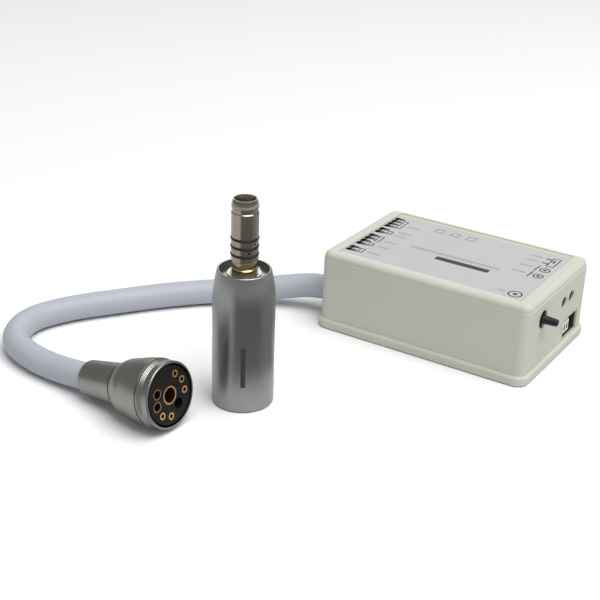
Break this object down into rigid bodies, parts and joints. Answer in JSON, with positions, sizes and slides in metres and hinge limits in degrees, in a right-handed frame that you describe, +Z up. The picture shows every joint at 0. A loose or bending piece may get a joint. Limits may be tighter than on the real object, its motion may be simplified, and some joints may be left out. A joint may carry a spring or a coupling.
{
  "type": "endodontic motor set",
  "caption": "Brushless dental motor with a handpiece nose, its hose with a bell-shaped screw coupling, and a low control box with an air inlet, adjusters and terminals.",
  "frame": {"origin": "centre of the control box's underside", "axes": "+Z up; +X along the box's long side towards the end with the air inlet; +Y across the box, away from the motor and the coupling"},
  "size_m": [0.1947, 0.1795, 0.0805],
  "materials": {
    "ivory_shell": "fine satin moulding",
    "label_film": "printed polyester film",
    "screw_steel": "plain steel",
    "green_board": "solder mask",
    "spacer_brass": "turned",
    "terminal_green": "moulded",
    "trimmer_blue": "moulded",
    "trimmer_brass": "turned",
    "sensor_plastic": "moulded",
    "barb_plastic": "moulded",
    "switch_white": "moulded",
    "slider_dark": "moulded",
    "capacitor_sleeve": "shrunk sleeve",
    "sink_aluminium": "extruded",
    "ferrite": "sintered",
    "bushing_rubber": "matt",
    "hose_silicone": "smooth matt silicone",
    "coupling_steel": "turned and bead-blasted",
    "contact_black": "moulded insulator",
    "contact_gold": "gold plated",
    "casing_steel": "satin stainless steel",
    "nose_steel": "turned and polished",
    "lens": "clear lens",
    "ring_rubber": "matt",
    "collar_brass": "turned",
    "bearing_steel": "ground",
    "board_thin": "solder mask",
    "core_steel": "stacked sheet",
    "coil_copper": "lacquered copper wire",
    "magnet": "plated magnet",
    "shaft_steel": "ground"
  },
  "bodies": {
    "control_set": {"base_plate": "ivory_shell", "case_frame": "ivory_shell", "top_lid": "ivory_shell", "label_panel": "label_film", "case_screws": "screw_steel", "driver_board": "green_board", "control_board": "green_board", "board_spacers": "spacer_brass", "board_screws": "screw_steel", "motor_terminal": "terminal_green", "light_terminal": "terminal_green", "signal_terminal": "terminal_green", "supply_terminal": "terminal_green", "terminal_screws": "screw_steel", "trimmer_bodies": "trimmer_blue", "pressure_sensor": "sensor_plastic", "air_inlet_barb": "barb_plastic", "switch_body": "switch_white", "capacitors": "capacitor_sleeve", "power_transistors": "sensor_plastic", "heat_sink": "sink_aluminium", "controller_chip": "sensor_plastic", "power_inductor": "ferrite", "board_connector": "sensor_plastic", "hose_bushing": "bushing_rubber", "hose_tube": "hose_silicone", "coupling_sleeve": "coupling_steel", "coupling_clip": "screw_steel", "contact_block": "contact_black", "signal_sockets": "contact_gold", "power_sockets": "contact_gold", "air_tube": "contact_gold"},
    "motor": {"motor_casing": "casing_steel", "front_flange": "nose_steel", "light_windows": "lens", "nose_snap_ring": "screw_steel", "nose_tube": "nose_steel", "nose_o_rings": "ring_rubber", "brass_collar": "collar_brass", "bearing_outer_rings": "bearing_steel", "bearing_balls": "bearing_steel", "rear_bearing_plate": "nose_steel", "rear_contact_block": "contact_black", "signal_pins": "contact_gold", "power_pins": "contact_gold", "position_board": "board_thin", "stator_core": "core_steel", "stator_coil": "coil_copper"},
    "rotor": {"rotor_shaft": "shaft_steel", "rotor_magnet": "magnet", "bearing_inner_rings": "bearing_steel", "dog_spring": "shaft_steel"},
    "drive_dog": {"drive_dog": "shaft_steel"},
    "union_nut": {"union_nut": "coupling_steel"},
    "speed_trimmer_screw": {"speed_trimmer_screw": "trimmer_brass"},
    "light_trimmer_screw": {"light_trimmer_screw": "trimmer_brass"},
    "mode_slider": {"mode_slider": "slider_dark"},
    "feedback_slider": {"feedback_slider": "slider_dark"}
  },
  "joints": [
    {"name": "motor_lift", "type": "slide", "parent": "control_set", "child": "motor", "axis": [0, 0, 1], "range_m": [0, 0.06]},
    {"name": "rotor_spin", "type": "hinge", "parent": "motor", "child": "rotor", "pos_m": [-0.0367, -0.101, 0.027], "axis": [0, 0, 1], "continuous": true},
    {"name": "dog_slide", "type": "slide", "parent": "rotor", "child": "drive_dog", "axis": [0, 0, 1], "range_m": [-0.0015, 0], "stiffness_N_per_m": 200, "springref_m": 0.002, "deforming": ["dog_spring"]},
    {"name": "union_nut_turn", "type": "hinge", "parent": "control_set", "child": "union_nut", "pos_m": [-0.055, -0.13434, 0.01217], "axis": [0.9855, -0.0516, 0.1616], "continuous": true},
    {"name": "speed_trimmer_turn", "type": "hinge", "parent": "control_set", "child": "speed_trimmer_screw", "pos_m": [0.0442, 0.0056, 0.0229], "axis": [1, 0, 0], "range_deg": [-135, 135]},
    {"name": "light_trimmer_turn", "type": "hinge", "parent": "control_set", "child": "light_trimmer_screw", "pos_m": [0.0442, 0.0134, 0.0229], "axis": [1, 0, 0], "range_deg": [-135, 135]},
    {"name": "mode_slider_slide", "type": "slide", "parent": "control_set", "child": "mode_slider", "axis": [0, 0, 1], "range_m": [0, 0.0016]},
    {"name": "feedback_slider_slide", "type": "slide", "parent": "control_set", "child": "feedback_slider", "axis": [0, 0, 1], "range_m": [0, 0.0016]}
  ]
}
